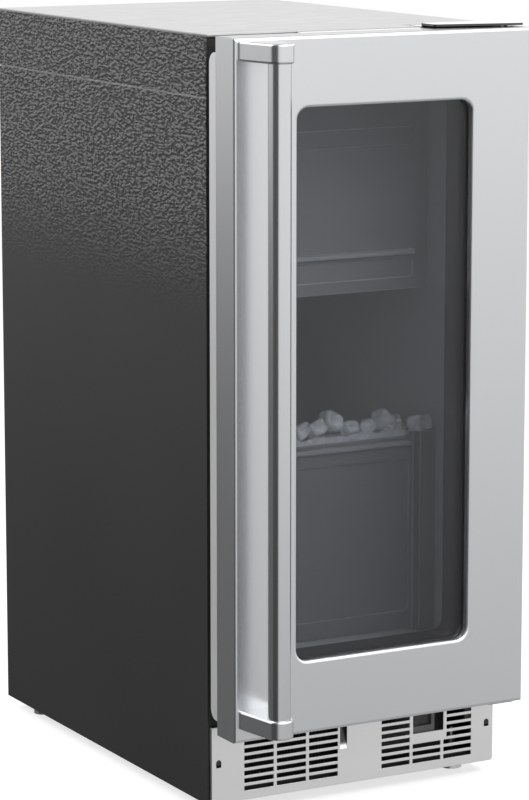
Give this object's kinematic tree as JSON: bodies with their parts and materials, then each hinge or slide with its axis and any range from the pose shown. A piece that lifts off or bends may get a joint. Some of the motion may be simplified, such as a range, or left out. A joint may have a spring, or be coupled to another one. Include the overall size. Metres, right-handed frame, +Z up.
{
  "type": "undercounter ice maker",
  "caption": "Undercounter clear ice maker with a hinged glass door, bar handle, slotted grille, levelling legs and a full ice making and refrigeration set inside.",
  "frame": {"origin": "on the floor, in the middle of the whole machine with its handle", "axes": "+X to the right seen from the front, +Y to the back, +Z up"},
  "size_m": [0.378, 0.6648, 0.8827],
  "materials": {
    "black_sheet": "satin",
    "zinc_sheet": "satin",
    "light_sheet": "satin",
    "door_steel": "satin",
    "grille_steel": "satin",
    "hinge_steel": "satin",
    "bar_steel": "satin",
    "bracket_metal": "satin",
    "fastener_steel": "satin",
    "foot_metal": "satin",
    "clear_glass": "gloss",
    "spacer_black": "matte",
    "seal_rubber": "matte",
    "insulation": "matte",
    "inner_frame_plastic": "satin",
    "cap_plastic": "satin",
    "bushing_plastic": "satin",
    "liner_plastic": "satin",
    "cover_plastic": "satin",
    "stainless_plate": "satin",
    "copper_pipe": "satin",
    "fin_aluminium": "satin",
    "white_plastic": "satin",
    "black_plastic": "satin",
    "motor_metal": "satin",
    "hose": "satin",
    "clear_ice": "gloss"
  },
  "bodies": {
    "cabinet": {"base_pan": "black_sheet", "bottom_hinge_plate": "hinge_steel", "cabinet_foam": "insulation", "circulation_pump": "black_plastic", "compressor": "motor_metal", "compressor_mounts": "seal_rubber", "condenser_fins": "fin_aluminium", "condenser_tube": "copper_pipe", "control_box": "zinc_sheet", "cord_gland": "seal_rubber", "cutter_grid": "white_plastic", "cutter_wires": "stainless_plate", "dam_rails": "liner_plastic", "drain_line": "hose", "evaporator_brackets": "stainless_plate", "evaporator_coil": "copper_pipe", "evaporator_plate": "stainless_plate", "fan_motor": "motor_metal", "fan_shroud": "zinc_sheet", "filter_drier": "copper_pipe", "front_frame": "black_sheet", "grille_panel": "grille_steel", "hinge_blank": "cap_plastic", "hinge_pins": "fastener_steel", "hinge_screws": "fastener_steel", "ice": "clear_ice", "ice_dam": "cover_plastic", "ice_maker_cover": "cover_plastic", "inner_liner": "liner_plastic", "panel_screws": "fastener_steel", "rear_panel": "zinc_sheet", "refrigerant_lines": "copper_pipe", "side_panel_left": "black_sheet", "side_panel_right": "black_sheet", "switch_bezel": "black_plastic", "top_band": "black_sheet", "top_hinge_plate": "black_sheet", "top_panel": "light_sheet", "water_distributor": "white_plastic", "water_inlet_valve": "black_plastic", "water_lines": "hose", "water_sump": "white_plastic"},
    "door": {"door_skin": "door_steel", "outer_glass": "clear_glass", "inner_glass": "clear_glass", "glass_spacer": "spacer_black", "door_foam": "insulation", "door_inner_frame": "inner_frame_plastic", "door_gasket": "seal_rubber", "door_bushings": "bushing_plastic", "handle_brackets": "bracket_metal", "handle_bar": "bar_steel", "handle_screws": "fastener_steel"},
    "rocker": {"rocker_switch": "black_plastic"},
    "fan": {"fan_blade": "black_plastic"},
    "impeller": {"pump_impeller": "white_plastic"},
    "leg_fl": {"leg_front_left": "foot_metal"},
    "leg_fr": {"leg_front_right": "foot_metal"},
    "leg_rl": {"leg_rear_left": "foot_metal"},
    "leg_rr": {"leg_rear_right": "foot_metal"}
  },
  "joints": [
    {"name": "door_swing", "type": "hinge", "parent": "cabinet", "child": "door", "pos_m": [0.173, -0.2449, 0.5], "axis": [0, 0, 1], "range_deg": [0, 105]},
    {"name": "switch_rock", "type": "hinge", "parent": "cabinet", "child": "rocker", "pos_m": [0.0912, -0.1997, 0.0775], "axis": [0, 0, -1], "range_deg": [0, 16]},
    {"name": "fan_spin", "type": "hinge", "parent": "cabinet", "child": "fan", "pos_m": [-0.081, -0.12475, 0.0621], "axis": [0, 1, 0], "continuous": true},
    {"name": "pump_spin", "type": "hinge", "parent": "cabinet", "child": "impeller", "pos_m": [0.1054, 0.0891, 0.64], "axis": [0, 0, 1], "continuous": true},
    {"name": "leg_fl_screw", "type": "slide", "parent": "cabinet", "child": "leg_fl", "axis": [0, 0, -1], "range_m": [0, 0.018]},
    {"name": "leg_fr_screw", "type": "slide", "parent": "cabinet", "child": "leg_fr", "axis": [0, 0, -1], "range_m": [0, 0.018]},
    {"name": "leg_rl_screw", "type": "slide", "parent": "cabinet", "child": "leg_rl", "axis": [0, 0, -1], "range_m": [0, 0.018]},
    {"name": "leg_rr_screw", "type": "slide", "parent": "cabinet", "child": "leg_rr", "axis": [0, 0, -1], "range_m": [0, 0.018]}
  ]
}
